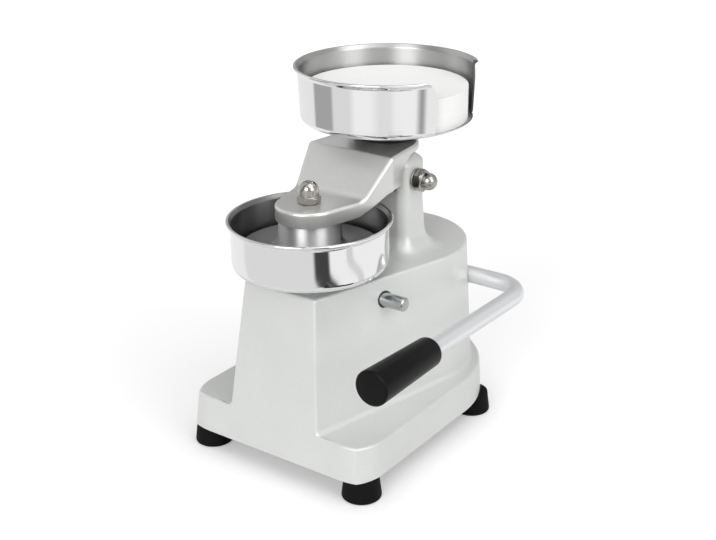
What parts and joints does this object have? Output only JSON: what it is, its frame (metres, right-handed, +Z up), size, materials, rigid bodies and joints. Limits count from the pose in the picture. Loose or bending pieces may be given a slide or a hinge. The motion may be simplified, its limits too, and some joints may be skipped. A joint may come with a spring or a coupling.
{
  "type": "burger press",
  "caption": "Hand burger press: cast stand with a forming bowl, a hinged press arm that carries the upper bowl for paper discs, and a bent side lever with a grip.",
  "frame": {"origin": "middle of the bounding box, on the plane under the four feet", "axes": "+Z up, -Y towards the front with the lower bowl, +X towards the side lever, arm closed"},
  "size_m": [0.246, 0.2928, 0.3356],
  "materials": {
    "casting": "fine blasted light silver",
    "arm_casting": "satin cast",
    "bowl": "polished stainless",
    "turned": "turned",
    "fastener": "polished stainless",
    "zinc": "bright zinc",
    "bar": "satin chrome",
    "rubber": "matte black",
    "grip": "satin black",
    "steel": "plain",
    "bronze": "plain bearing",
    "paper": "waxed paper"
  },
  "bodies": {
    "stand": {"body_casting": "casting", "foot_front_right": "rubber", "foot_screw_front_right": "fastener", "foot_front_left": "rubber", "foot_screw_front_left": "fastener", "foot_rear_right": "rubber", "foot_screw_rear_right": "fastener", "foot_rear_left": "rubber", "foot_screw_rear_left": "fastener", "lower_bowl": "bowl", "lower_bowl_screw_1": "fastener", "lower_bowl_screw_2": "fastener", "lower_bowl_screw_3": "fastener", "ejector_bush": "bronze", "lever_bush_right": "bronze", "lever_bush_left": "bronze", "rocker_shaft": "zinc", "rocker_clip_right": "steel", "rocker_clip_left": "steel", "hinge_bar": "fastener", "hinge_washer_right": "fastener", "hinge_nut_right": "fastener", "hinge_washer_left": "fastener", "hinge_nut_left": "fastener"},
    "lever": {"lever_bar": "bar", "lever_grip": "grip", "lever_crank": "steel", "crank_press_pin": "steel", "crank_push_pin": "steel"},
    "arm": {"press_arm": "arm_casting", "press_plate": "turned", "plate_stud": "fastener", "plate_nut": "fastener", "paper_bowl": "bowl", "paper_bowl_spacer": "turned", "paper_bowl_stud": "fastener", "paper_stack": "paper", "lug_pin": "steel"},
    "rocker": {"rocker": "steel", "lift_pin": "steel", "lift_sleeve": "steel", "rocker_push_pin": "steel"},
    "ejector": {"ejector_disc": "bowl", "ejector_rod": "steel"},
    "press_link": {"press_link": "steel"},
    "push_link": {"push_link": "steel"}
  },
  "joints": [
    {"name": "lever_hinge", "type": "hinge", "parent": "stand", "child": "lever", "pos_m": [-0.02055, 0.10432, 0.1325], "axis": [-1, 0, 0], "range_deg": [0, 65]},
    {"name": "arm_hinge", "type": "hinge", "parent": "stand", "child": "arm", "pos_m": [-0.02055, 0.04782, 0.2385], "axis": [-1, 0, 0], "range_deg": [0, 52.05]},
    {"name": "rocker_hinge", "type": "hinge", "parent": "stand", "child": "rocker", "pos_m": [-0.02055, -0.02668, 0.152], "axis": [-1, 0, 0], "range_deg": [0, 50.05]},
    {"name": "ejector_slide", "type": "slide", "parent": "stand", "child": "ejector", "axis": [0, 0, 1], "range_m": [0, 0.02915]},
    {"name": "press_link_pivot", "type": "hinge", "parent": "lever", "child": "press_link", "pos_m": [-0.02055, 0.10197, 0.11471], "axis": [-1, 0, 0], "range_deg": [-65.05, 0]},
    {"name": "push_link_pivot", "type": "hinge", "parent": "lever", "child": "push_link", "pos_m": [-0.02055, 0.11826, 0.11061], "axis": [-1, 0, 0], "range_deg": [-65.05, 0]}
  ],
  "couplings": [
    {"joint": "arm_hinge", "follows": "lever_hinge", "ratio": 0.8},
    {"joint": "rocker_hinge", "follows": "lever_hinge", "ratio": 0.76923},
    {"joint": "ejector_slide", "follows": "lever_hinge", "m_per_rad": 0.025659},
    {"joint": "press_link_pivot", "follows": "lever_hinge", "ratio": -1},
    {"joint": "push_link_pivot", "follows": "lever_hinge", "ratio": -1}
  ]
}
